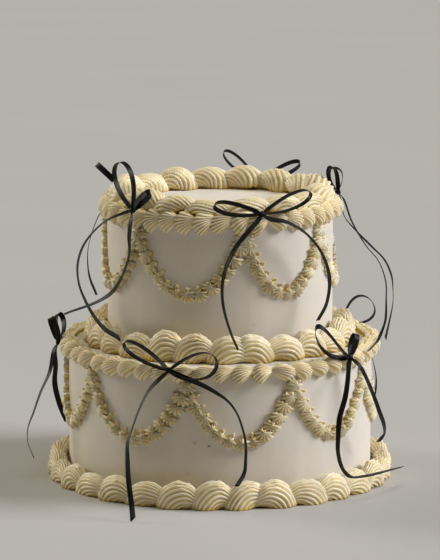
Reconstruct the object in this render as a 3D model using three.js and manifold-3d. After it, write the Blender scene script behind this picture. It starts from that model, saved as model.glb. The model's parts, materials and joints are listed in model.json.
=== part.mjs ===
// Two-tier celebration cake: smooth buttercream tiers, piped shell borders, swagged garlands on
// both walls, and tied satin ribbon bows whose tails hang free.
// Millimetres, +Z up. The origin is the middle of the underside and the front faces -Y.
// Angles go round the cake from the front, positive towards +X.
import * as THREE from "three";
import Module from "manifold-3d";
import { mergeVertices } from "three/addons/utils/BufferGeometryUtils.js";

// Driving dimensions: an eight-inch tier under a six-inch tier, both with their icing.
const LOWER = { radius: 106, height: 94 };
const UPPER = { radius: 78.5, height: 98 };
const TIER_BEVEL = 1.6; // smoothed top edge
const TIER_SIDES = 64;
const GAP = 0.3; // between touching pieces

const LOWER_TOP = LOWER.height;
const UPPER_FOOT = LOWER_TOP + GAP;
const UPPER_TOP = UPPER_FOOT + UPPER.height;

// Shell borders: how many shells, where the two piping runs meet, and the room the border fills.
// The top one is lower about the angle given.
const BASE_BORDER = { shells: 31, meetDeg: 8, width: 14.3, height: 18 };
const FOOT_BORDER = { shells: 25, meetDeg: 2, width: 16.6, height: 19 };
const TOP_BORDER = {
  shells: 17,
  meetDeg: 36,
  width: 22,
  height: 15,
  lowest: 10.5,
  lowestDeg: 20,
  outer: 80,
  sway: 1.4,
};

// Small shells over a tier's top edge: how far they reach out and hang down, and on the lower
// tier how far they ride up over the edge, low at the front and higher towards the sides.
const LOWER_RIM = { shells: 50, reach: 5.6, drop: 10.5, lap: 5.5, rise: [1.5, 6] };
const UPPER_RIM = { shells: 40, reach: 4.6, drop: 14.5 };

// Garlands: the angles of their peaks, their heights below the tier's top, and their thickness.
const UPPER_GARLAND = {
  peaksDeg: [-95, -43.5, 12.2, 58.4, 111, 163, 214],
  peakDrop: 14,
  lowDrop: 53,
  band: 11,
  relief: 5.5,
};
const LOWER_GARLAND = {
  peaksDeg: [-94, -54.1, -11.7, 27.7, 66, 106, 146, 186, 226],
  peakDrop: 12.5,
  lowDrop: 50,
  band: 11,
  relief: 5.5,
};
const TUFTS_PER_SWAG = 11;
const SWAG_POWER = 2.2; // a swag hangs a little flatter than a parabola

// Ribbon, gathered where a knot ties it.
const RIBBON = { width: 4.2, gathered: 2, thickness: 0.8 };
const KNOT = { across: 4.6, deep: 4.4, tall: 4.4, sides: 6, rows: 3 };
const LOOP_STEPS = 8;
const TAIL_STEP = 12; // length of ribbon between two sections of a tail

const BUTTERCREAM = { color: "#e9e1c6", roughness: 0.55, metalness: 0 };
const PIPED_BUTTERCREAM = { color: "#ece3bf", roughness: 0.5, metalness: 0 };
const SATIN = { color: "#17171b", roughness: 0.42, metalness: 0 };

// Bows. A knot is tied at its place. A loop runs out to its tip and back, so far open, with its
// plane rolled about the way it points, and it may sag between the knot and the tip. A tail follows
// the middle of the ribbon from the knot: each stop is a place, and how far the ribbon's face is
// turned there about the ribbon's own length, from straight outwards, in degrees.
const BOWS = [
  {
    name: "upper_bow_front",
    knot: [28, -81, 194],
    loops: [
      { tip: [-4, -91, 201], open: 10, rollDeg: 45 },
      { tip: [61, -65, 206], open: 11, rollDeg: 15 },
    ],
    tails: {
      left: [
        [25, -86, 190, 60], [19, -91, 184, 57], [8, -98, 170, 56], [2, -100, 153, 62],
        [2, -99, 136, 64], [7, -98, 117, 68], [12, -97, 105, 72],
      ],
      right: [
        [34, -84, 191, -45], [44, -81, 189, -52], [58, -76, 180, -50], [69, -69, 165, -28],
        [74, -65, 148, -5], [72, -67, 131, -10], [66, -71, 120, -18],
      ],
    },
  },
  {
    name: "upper_bow_left",
    knot: [-59, -62, 194],
    loops: [
      { tip: [-68, -57, 226], open: 18, rollDeg: -5 },
      { tip: [-47, -80, 209], open: 6, rollDeg: 78 },
    ],
    tails: {
      left: [
        [-65, -60, 192, 52], [-77, -55, 186, 50], [-88, -46, 175, 33], [-95, -38, 163, 10],
        [-98, -32, 150, -5], [-97, -30, 138, -5], [-93, -33, 128, 0], [-87, -42, 119, 3],
        [-79, -56, 112, 8], [-68, -71, 108, 15],
      ],
      right: [
        [-60, -67, 189, 8], [-61, -71, 178, 6], [-61, -75, 166, 30], [-65, -74, 153, 36],
        [-72, -67, 140, 22], [-81, -58, 132, 42], [-92, -50, 126, 54], [-101, -44, 122, 54],
        [-107, -40, 119, 50],
      ],
    },
  },
  {
    name: "upper_bow_right",
    knot: [83, 26, 195],
    loops: [
      { tip: [77, 13, 214], open: 8, rollDeg: -55 },
      { tip: [80, 34, 211], open: 11, rollDeg: 75 },
    ],
    tails: {
      left: [
        [85, 19, 191, 20], [87, 13, 180, 20], [96, 10, 169, 25], [106, 8, 159, 30],
        [115, 5, 150, 25], [120, 3, 139, 20], [121, 2, 131, 10], [121, 0, 120, 0],
        [118, 0, 104, -10], [116, 0, 95, -20],
      ],
      right: [
        [87, 28, 190, 0], [93, 27, 174, 5], [103, 25, 157, 10], [112, 24, 146, 10],
        [117, 21, 132, 5], [117, 13, 119, -5], [116, 2, 108, -25], [112, -14, 101, -50],
        [108, -32, 98, -60], [104, -46, 97, -60], [101, -56, 96, -55],
      ],
    },
  },
  {
    name: "upper_bow_back",
    knot: [28, 81, 194],
    loops: [
      { tip: [58, 92, 208], open: 9, rollDeg: -40 },
      { tip: [3, 91, 216], open: 9, rollDeg: 45 },
    ],
    tails: {
      left: [
        [35, 84, 190, 40], [47, 86, 182, 40], [57, 84, 168, 25], [61, 81, 151, 10],
        [58, 82, 133, 5], [52, 86, 119, 15],
      ],
      right: [
        [24, 86, 190, -35], [16, 93, 181, -40], [8, 98, 166, -50], [4, 100, 149, -55],
        [6, 99, 131, -50], [12, 97, 114, -45],
      ],
    },
  },
  {
    name: "upper_bow_back_left",
    knot: [-69, 50, 194],
    loops: [
      { tip: [-88, 62, 210], open: 9, rollDeg: 35 },
      { tip: [-47, 78, 196], open: 8, rollDeg: -45 },
    ],
    tails: {
      left: [
        [-67, 56, 190, 35], [-61, 66, 183, 40], [-54, 75, 170, 35], [-49, 82, 154, 20],
        [-49, 84, 137, 10], [-54, 81, 121, 20],
      ],
      right: [
        [-74, 50, 189, -40], [-83, 48, 181, -45], [-90, 43, 167, -35], [-94, 37, 151, -20],
        [-93, 35, 134, -10], [-88, 40, 119, -15],
      ],
    },
  },
  {
    name: "lower_bow_front",
    knot: [-34, -108, 93],
    loops: [
      { tip: [-64, -99, 110], open: 10, rollDeg: -17 },
      { tip: [-2, -127, 101], open: 18, rollDeg: -28 },
    ],
    tails: {
      left: [
        [-39, -112, 89, 43], [-47, -114, 81, 46], [-53, -117, 70, 53], [-58, -121, 57, 52],
        [-61, -125, 48, 33], [-61, -131, 36, 15], [-60, -138, 23, 8], [-58, -145, 10, 5],
        [-57, -151, 2, 3],
      ],
      right: [
        [-28, -114, 91, 5], [-15, -120, 87, 24], [-4, -124, 82, 43], [5, -126, 76, 61],
        [11, -127, 68, 74], [15, -127, 57, 75], [17, -127, 47, 75], [17, -126, 37, 72],
        [16, -125, 27, 66], [11, -125, 18, 60],
      ],
    },
  },
  {
    name: "lower_bow_right",
    knot: [88, -71, 95],
    loops: [
      { tip: [65, -94, 120], open: 11, rollDeg: -60, sag: 6 },
      { tip: [92, -66, 110], open: 6, rollDeg: 70 },
    ],
    tails: {
      left: [
        [87, -77, 91, 100], [86, -84, 82, 95], [84, -91, 71, 80], [80, -98, 58, 76],
        [79, -102, 46, 84], [79, -103, 36, 90], [82, -102, 25, 86], [87, -100, 19, 68],
        [95, -92, 17, 50], [106, -79, 16, 46], [117, -63, 15, 52], [126, -46, 13, 65],
      ],
      right: [
        [94, -73, 90, -12], [99, -72, 81, -7], [104, -72, 69, 0], [108, -71, 58, 3],
        [112, -65, 46, 3], [112, -60, 39, 6], [108, -61, 34, -5],
      ],
    },
  },
  {
    name: "lower_bow_left",
    knot: [-113, -3, 93],
    loops: [
      { tip: [-117, -15, 112], open: 8, rollDeg: 30 },
      { tip: [-113, 23, 108], open: 9, rollDeg: -40 },
    ],
    tails: {
      left: [
        [-116, -7, 88, -40], [-119, -10, 73, -35], [-125, -15, 60, -20], [-130, -19, 46, -10],
        [-134, -21, 35, 0], [-134, -23, 25, 5], [-130, -24, 15, 0],
      ],
      right: [
        [-116, 3, 86, 40], [-116, 10, 73, 45], [-117, 15, 60, 50], [-114, 20, 44, 45],
        [-109, 25, 30, 35],
      ],
    },
  },
  {
    name: "lower_bow_back_right",
    knot: [89, 70, 93],
    loops: [
      { tip: [110, 72, 109], open: 21, rollDeg: 5 },
      { tip: [68, 97, 105], open: 9, rollDeg: -40 },
    ],
    tails: {
      left: [
        [96, 70, 89, 35], [105, 66, 80, 40], [111, 61, 66, 30], [113, 58, 51, 15],
        [110, 62, 36, 5], [104, 69, 24, 15],
      ],
      right: [
        [88, 76, 88, -35], [85, 86, 79, -45], [80, 95, 65, -50], [76, 101, 50, -40],
        [76, 103, 34, -25], [80, 101, 22, -20],
      ],
    },
  },
  {
    name: "lower_bow_back_left",
    knot: [-38, 106, 93],
    loops: [
      { tip: [-68, 99, 107], open: 9, rollDeg: -40 },
      { tip: [-6, 116, 104], open: 10, rollDeg: 35 },
    ],
    tails: {
      left: [
        [-32, 111, 89, 35], [-22, 117, 80, 40], [-14, 121, 66, 50], [-10, 124, 50, 45],
        [-12, 125, 34, 30], [-18, 124, 22, 20],
      ],
      right: [
        [-44, 109, 88, -35], [-54, 110, 80, -40], [-62, 109, 66, -30], [-66, 108, 50, -15],
        [-65, 109, 34, -5], [-60, 112, 21, -10],
      ],
    },
  },
];

// Places and directions round the cake

function onCake(angle, radius, height) {
  return new THREE.Vector3(radius * Math.sin(angle), -radius * Math.cos(angle), height);
}

function outwardAt(place) {
  return new THREE.Vector3(place.x, place.y, 0).normalize();
}

// Solids from sections

// Sections are lists of points that turn the same way; a closed run joins its last to its first,
// and an open one is capped with a fan at each end.
function sectionSolid(sections, closed) {
  const sides = sections[0].length;
  const corners = sections.flat();
  const faces = [];
  const runs = closed ? sections.length : sections.length - 1;
  for (let run = 0; run < runs; run++) {
    const here = run * sides;
    const next = ((run + 1) % sections.length) * sides;
    for (let side = 0; side < sides; side++) {
      const turn = (side + 1) % sides;
      faces.push(here + side, next + side, next + turn);
      faces.push(here + side, next + turn, here + turn);
    }
  }
  if (!closed) {
    const end = (sections.length - 1) * sides;
    for (let side = 1; side < sides - 1; side++) {
      faces.push(0, side, side + 1);
      faces.push(end, end + side + 1, end + side);
    }
  }
  const geometry = new THREE.BufferGeometry().setFromPoints(corners);
  geometry.setIndex(faces);
  geometry.computeVertexNormals();
  return geometry;
}

const wasm = await Module();
wasm.setup();

function toManifold(geometry) {
  const bare = geometry.clone();
  bare.deleteAttribute("normal");
  bare.deleteAttribute("uv");
  const merged = mergeVertices(bare);
  return new wasm.Manifold(
    new wasm.Mesh({
      numProp: 3,
      vertProperties: new Float32Array(merged.attributes.position.array),
      triVerts: new Uint32Array(merged.index.array),
    }),
  );
}

function toGeometry(manifold) {
  const mesh = manifold.getMesh();
  const geometry = new THREE.BufferGeometry();
  geometry.setAttribute("position", new THREE.BufferAttribute(mesh.vertProperties, 3));
  geometry.setIndex(new THREE.BufferAttribute(mesh.triVerts, 1));
  geometry.computeVertexNormals();
  return geometry;
}

function joined(geometries) {
  return toGeometry(geometries.map(toManifold).reduce((whole, piece) => whole.add(piece)));
}

// Tiers

function tier({ radius, height }, foot) {
  const profile = [
    new THREE.Vector2(0, 0),
    new THREE.Vector2(radius, 0),
    new THREE.Vector2(radius, height - TIER_BEVEL),
    new THREE.Vector2(radius - TIER_BEVEL, height),
    new THREE.Vector2(0, height),
  ];
  const geometry = new THREE.LatheGeometry(profile, TIER_SIDES);
  geometry.rotateX(Math.PI / 2);
  geometry.translate(0, 0, foot);
  return geometry;
}

// Shell borders

// How full a shell is along its length, from where its head swells up to where its tail thins.
const SHELL_SWELL = [
  { along: 0.02, full: 0.6 },
  { along: 0.15, full: 0.95 },
  { along: 0.45, full: 1 },
  { along: 0.76, full: 0.8 },
];
const GROOVE = 0.85; // radius in the grooves between two ridges, as a share of the ridge's
const ASIDE = [0.15, 0.8]; // where a border turns from its front to its side, as 1 less the cosine

// The two runs of piping start at the back and meet at the meeting angle, so every tail points
// at it. Each station is an angle with the shell's fullness there.
function shellStations(shells, meetDeg) {
  const pitch = (2 * Math.PI) / shells;
  const meet = THREE.MathUtils.degToRad(meetDeg);
  const stations = [];
  for (let shell = 0; shell < shells; shell++) {
    const start = meet - Math.PI + shell * pitch;
    const leftRun = shell < shells / 2;
    const swell = leftRun ? SHELL_SWELL : [...SHELL_SWELL].reverse();
    for (const { along, full } of swell) {
      const share = leftRun ? along : 1 - along;
      stations.push({ angle: start + share * pitch, along, full });
    }
  }
  return stations;
}

// A fluted section round its middle, with every second point in a groove, kept off the
// neighbours by the given limits.
function flutedSection(angle, middle, half, fromDeg, toDeg, flutes, keep) {
  const points = [];
  for (let i = 0; i < flutes; i++) {
    const turn = THREE.MathUtils.degToRad(fromDeg + ((toDeg - fromDeg) * i) / (flutes - 1));
    const ridge = i % 2 === 0 ? 1 : GROOVE;
    const radius = middle.radius + half.width * ridge * Math.cos(turn);
    const height = middle.height + half.height * ridge * Math.sin(turn);
    points.push(
      onCake(
        angle,
        Math.min(Math.max(radius, keep.inner), keep.outer),
        Math.max(height, keep.seat),
      ),
    );
  }
  return points;
}

// A border in the corner between a wall and the surface below it. Its flutes run from near its
// foot, over its outside, to where it leans on the wall, and a thin part draws back to the wall.
function cornerBorder(border, wall, seat) {
  const { width, height } = border;
  const inner = wall + GAP;
  const keep = { inner, outer: Infinity, seat };
  const footDeg = -62;
  const wallDeg = 140;
  const flutes = 7;
  const drawnBack = 2;
  const sections = shellStations(border.shells, border.meetDeg).map(({ angle, full }) => {
    const half = { width: (width / 2) * full, height: (height / 2) * full };
    const middle = {
      radius: inner + width / 2 - (1 - full) * drawnBack,
      height: seat + half.height,
    };
    const fluted = flutedSection(angle, middle, half, footDeg, wallDeg, flutes, keep);
    const corner = onCake(angle, inner, seat);
    return [corner, ...fluted];
  });
  return sectionSolid(sections, true);
}

// The large shells lying on the cake's top, which sway in and out a little as they were piped.
function topBorder() {
  const { shells, meetDeg, width, height, lowest, lowestDeg, outer, sway } = TOP_BORDER;
  const lowestAt = THREE.MathUtils.degToRad(lowestDeg);
  const seat = UPPER_TOP + GAP;
  const keep = { inner: 0, outer, seat };
  const flutes = 9;
  const sections = shellStations(shells, meetDeg).map(({ angle, along, full }) => {
    const aside = THREE.MathUtils.smoothstep(1 - Math.cos(angle - lowestAt), ...ASIDE);
    const tall = THREE.MathUtils.lerp(lowest, height, aside);
    const half = { width: (width / 2) * full, height: tall * full };
    const drift = sway * Math.sin(2 * Math.PI * along);
    const middle = { radius: outer - width / 2 + drift, height: seat };
    return flutedSection(angle, middle, half, 0, 180, flutes, keep);
  });
  return sectionSolid(sections, true);
}

// How far a rim shell stands out and hangs down in the dip between two shells, as a share of its
// crest, and the bulge in a cut through it, as shares of its reach and of its drop.
const RIM_DIP = { reach: 0.5, drop: 0.8, rise: 0.75 };
const RIM_BULGE = { low: { out: 0.8, down: 0.85 }, full: { out: 1, down: 0.45 } };
const RIM_EDGE = { out: 0.6, down: 0.06 };
const RIM_LAP_OUT = 0.3;

// The small drooping shells along a tier's top edge, as seen in a cut through the border: they
// hang on the wall, bulge below the middle, and taper at the edge or lap over it.
function rimBorder({ shells, reach, drop, lap, rise }, wall, top) {
  const inner = wall + GAP;
  const sections = [];
  for (let i = 0; i < 2 * shells; i++) {
    const crest = i % 2 === 1;
    const angle = (Math.PI * i) / shells;
    const out = reach * (crest ? 1 : RIM_DIP.reach);
    const down = drop * (crest ? 1 : RIM_DIP.drop);
    const section = [
      onCake(angle, inner, top - down),
      onCake(angle, inner + out * RIM_BULGE.low.out, top - down * RIM_BULGE.low.down),
      onCake(angle, inner + out * RIM_BULGE.full.out, top - down * RIM_BULGE.full.down),
    ];
    if (lap) {
      const aside = THREE.MathUtils.smoothstep(1 - Math.cos(angle), ...ASIDE);
      const up = THREE.MathUtils.lerp(...rise, aside) * (crest ? 1 : RIM_DIP.rise);
      section.push(
        onCake(angle, inner + out * RIM_LAP_OUT * (1 - aside), top + GAP + up),
        onCake(angle, inner - lap, top + GAP),
        onCake(angle, inner, top + GAP),
      );
    } else {
      section.push(
        onCake(angle, inner + out * RIM_EDGE.out, top - drop * RIM_EDGE.down),
        onCake(angle, inner, top),
      );
    }
    sections.push(section);
  }
  return sectionSolid(sections, true);
}

// Garlands

// One swag's hanging line, as angle and height, walked in even steps of its own length.
function swagLine(startDeg, endDeg, wall, peak, low, steps) {
  const start = THREE.MathUtils.degToRad(startDeg);
  const end = THREE.MathUtils.degToRad(endDeg);
  const half = (wall * (end - start)) / 2;
  const fine = 200;
  const flat = [];
  for (let i = 0; i <= fine; i++) {
    const across = (2 * i) / fine - 1;
    const raised = Math.abs(across) ** SWAG_POWER;
    flat.push(new THREE.Vector2(across * half, low + (peak - low) * raised));
  }
  const path = new THREE.SplineCurve(flat);
  path.arcLengthDivisions = fine;
  const line = [];
  for (let i = 0; i < steps; i++) {
    const share = i / steps;
    const place = path.getPointAt(share);
    const lean = path.getTangentAt(share);
    line.push({
      angle: (start + end) / 2 + place.x / wall,
      height: place.y,
      level: Math.abs(lean.x),
    });
  }
  return line;
}

// Tufts sit alternately towards the lower and the upper side of the band, and the upper ones
// stand out less. Where the band hangs steeply a level cut through it is longer.
function garland(shape, wall, top, ceiling) {
  const { peaksDeg, peakDrop, lowDrop, band, relief } = shape;
  const inner = wall + GAP;
  const peaks = [...peaksDeg, peaksDeg[0] + 360];
  const steepest = 0.42; // longest level cut: the band over this
  const lowerTuft = { side: -0.45, out: 1 };
  const upperTuft = { side: 0.45, out: 0.8 };
  const cap = (height) => Math.min(height, ceiling - GAP);
  const sections = [];
  for (let swag = 0; swag < peaksDeg.length; swag++) {
    const line = swagLine(
      peaks[swag], peaks[swag + 1], wall, top - peakDrop, top - lowDrop, 2 * TUFTS_PER_SWAG,
    );
    line.forEach(({ angle, height, level }, i) => {
      const half = band / 2 / Math.max(level, steepest);
      const tuft = i % 2 ? upperTuft : lowerTuft;
      sections.push([
        onCake(angle, inner, cap(height - half)),
        onCake(angle, inner + relief * tuft.out, cap(height + half * tuft.side)),
        onCake(angle, inner, cap(height + half)),
      ]);
    });
  }
  return sectionSolid(sections, true);
}

// Ribbons

// A flat strip along a path: its width lies along the given direction at each place.
function stripSection(place, tangent, across, width) {
  const side = across.clone().projectOnPlane(tangent).normalize();
  const face = new THREE.Vector3().crossVectors(tangent, side).normalize();
  const halfWidth = width / 2;
  const halfThick = RIBBON.thickness / 2;
  return [[-1, -1], [-1, 1], [1, 1], [1, -1]].map(([w, t]) =>
    place
      .clone()
      .addScaledVector(side, w * halfWidth)
      .addScaledVector(face, t * halfThick),
  );
}

// The path of a loop is a teardrop: sin² out to the tip and back, and a width that is nought at
// the knot and at the tip.
function ribbonLoop(knot, { tip, open, rollDeg, sag = 0 }) {
  const reach = new THREE.Vector3(...tip).sub(knot);
  const along = reach.clone().normalize();
  const out = outwardAt(knot).projectOnPlane(along).normalize();
  out.applyAxisAngle(along, THREE.MathUtils.degToRad(rollDeg));
  const across = new THREE.Vector3().crossVectors(out, along);
  const widest = 0.77; // largest value of the teardrop's own width formula
  const placeAt = (share) => {
    const turn = Math.PI * share;
    const wide = (Math.sin(2 * turn) * Math.sin(turn)) / widest;
    const gone = Math.sin(turn) ** 2;
    const place = knot
      .clone()
      .addScaledVector(reach, gone)
      .addScaledVector(across, (open / 2) * wide);
    place.z -= sag * 4 * gone * (1 - gone); // the whole sag half way to the tip
    return place;
  };
  const held = 0.05; // share of the ribbon that lies inside the knot, at each end
  const tiny = 0.01;
  const sections = [];
  for (let i = 0; i < LOOP_STEPS; i++) {
    const share = THREE.MathUtils.lerp(held, 1 - held, i / (LOOP_STEPS - 1));
    const tangent = placeAt(share + tiny).sub(placeAt(share - tiny)).normalize();
    const width = i % (LOOP_STEPS - 1) ? RIBBON.width : RIBBON.gathered;
    sections.push(stripSection(placeAt(share), tangent, out, width));
  }
  return sectionSolid(sections, false);
}

function knotLump(knot) {
  const lump = new THREE.SphereGeometry(0.5, KNOT.sides, KNOT.rows);
  lump.scale(KNOT.across, KNOT.deep, KNOT.tall);
  lump.rotateZ(Math.atan2(knot.x, -knot.y));
  lump.translate(knot.x, knot.y, knot.z);
  return lump;
}

function ribbonTail(knot, stops) {
  const route = [knot, ...stops.map(([x, y, z]) => new THREE.Vector3(x, y, z))];
  const turnsDeg = [stops[0][3], ...stops.map((stop) => stop[3])];
  const path = new THREE.CatmullRomCurve3(route);
  const steps = Math.round(path.getLength() / TAIL_STEP);
  const sections = [];
  for (let i = 0; i <= steps; i++) {
    const share = i / steps;
    const place = path.getPointAt(share);
    const tangent = path.getTangentAt(share);
    const stop = path.getUtoTmapping(share) * stops.length;
    const last = Math.min(Math.floor(stop), stops.length - 1);
    const turnDeg = THREE.MathUtils.lerp(turnsDeg[last], turnsDeg[last + 1], stop - last);
    const facing = outwardAt(place).projectOnPlane(tangent).normalize();
    facing.applyAxisAngle(tangent, THREE.MathUtils.degToRad(turnDeg));
    const across = new THREE.Vector3().crossVectors(tangent, facing);
    sections.push(stripSection(place, tangent, across, i ? RIBBON.width : RIBBON.gathered));
  }
  return sectionSolid(sections, false);
}

// A bow is one length of ribbon: its knot, two loops and two tails are one piece.
function bow({ knot, loops, tails }) {
  const place = new THREE.Vector3(...knot);
  return joined([
    knotLump(place),
    ...loops.map((loop) => ribbonLoop(place, loop)),
    ...Object.values(tails).map((stops) => ribbonTail(place, stops)),
  ]);
}

// The cake

const cake = new THREE.Group();

function add(parent, name, geometry, finish) {
  const mesh = new THREE.Mesh(geometry, new THREE.MeshStandardMaterial(finish));
  mesh.name = name;
  parent.add(mesh);
}

function addTiers() {
  const tiers = new THREE.Group();
  add(tiers, "lower_tier", tier(LOWER, 0), BUTTERCREAM);
  add(tiers, "upper_tier", tier(UPPER, UPPER_FOOT), BUTTERCREAM);
  cake.add(tiers);
}

function addPiping() {
  const piping = new THREE.Group();
  const lowerWall = LOWER.radius;
  const upperWall = UPPER.radius;
  const pieces = {
    base_border: cornerBorder(BASE_BORDER, lowerWall, 0),
    upper_foot_border: cornerBorder(FOOT_BORDER, upperWall, LOWER_TOP + GAP),
    top_border: topBorder(),
    lower_rim_border: rimBorder(LOWER_RIM, lowerWall, LOWER_TOP),
    upper_rim_border: rimBorder(UPPER_RIM, upperWall, UPPER_TOP),
    lower_garland: garland(LOWER_GARLAND, lowerWall, LOWER_TOP, LOWER_TOP - LOWER_RIM.drop),
    upper_garland: garland(UPPER_GARLAND, upperWall, UPPER_TOP, UPPER_TOP - UPPER_RIM.drop),
  };
  for (const [name, geometry] of Object.entries(pieces)) {
    add(piping, name, geometry, PIPED_BUTTERCREAM);
  }
  cake.add(piping);
}

function addBows() {
  const bows = new THREE.Group();
  for (const shape of BOWS) {
    add(bows, shape.name, bow(shape), SATIN);
  }
  cake.add(bows);
}

addTiers();
addPiping();
addBows();

export default cake;
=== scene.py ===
"""A two-tier celebration cake: smooth buttercream tiers, piped shell borders, swagged garlands
and tied satin bows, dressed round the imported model. Metres, +Z up, the front faces -Y, and
angles go round the cake from the front, positive towards +X."""

import json
from functools import partial
from math import atan2, cos, pi, radians, sin, tau

import bmesh
import bpy
import numpy as np
from mathutils import Matrix, Quaternion, Vector, noise

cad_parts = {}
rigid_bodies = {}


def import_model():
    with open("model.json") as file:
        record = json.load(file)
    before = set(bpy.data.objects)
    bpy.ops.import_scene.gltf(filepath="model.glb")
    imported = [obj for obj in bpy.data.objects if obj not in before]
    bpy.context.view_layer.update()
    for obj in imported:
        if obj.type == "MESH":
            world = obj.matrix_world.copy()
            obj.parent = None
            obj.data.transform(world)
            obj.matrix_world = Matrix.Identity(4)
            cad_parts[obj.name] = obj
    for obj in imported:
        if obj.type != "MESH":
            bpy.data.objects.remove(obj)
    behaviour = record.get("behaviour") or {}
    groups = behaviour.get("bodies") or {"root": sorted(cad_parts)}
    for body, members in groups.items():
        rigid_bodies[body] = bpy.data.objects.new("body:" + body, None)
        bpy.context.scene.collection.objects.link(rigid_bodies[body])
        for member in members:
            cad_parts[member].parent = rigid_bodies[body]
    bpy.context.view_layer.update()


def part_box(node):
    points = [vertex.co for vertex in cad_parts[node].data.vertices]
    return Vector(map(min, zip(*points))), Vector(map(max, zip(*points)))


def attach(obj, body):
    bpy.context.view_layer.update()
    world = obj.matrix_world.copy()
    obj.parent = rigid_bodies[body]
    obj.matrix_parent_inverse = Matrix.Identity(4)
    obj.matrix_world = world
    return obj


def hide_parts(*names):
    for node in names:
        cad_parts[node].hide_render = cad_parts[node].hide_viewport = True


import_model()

MM = 0.001
DEG = radians(1)
BODY = "root"
SCENE = bpy.context.scene

# Sizes of the cake, from the frame
LOWER_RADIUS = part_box("lower_tier")[1].x
LOWER_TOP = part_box("lower_tier")[1].z
UPPER_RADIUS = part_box("upper_tier")[1].x
UPPER_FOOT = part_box("upper_tier")[0].z
UPPER_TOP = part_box("upper_tier")[1].z
GAP = UPPER_FOOT - LOWER_TOP

# Ribbon
RIBBON_WIDTH = 4.2 * MM
RIBBON_THICK = 0.26 * MM
SELVEDGE_THICK = 0.38 * MM
GATHERED = 0.5  # share of its width that the ribbon keeps where it enters a knot
GATHER_LENGTH = 5 * MM
TAIL_SLANT = 2.2 * MM  # how far one selvedge runs past the other at a tail's cut end
TAIL_STEP = 1.3 * MM

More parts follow.
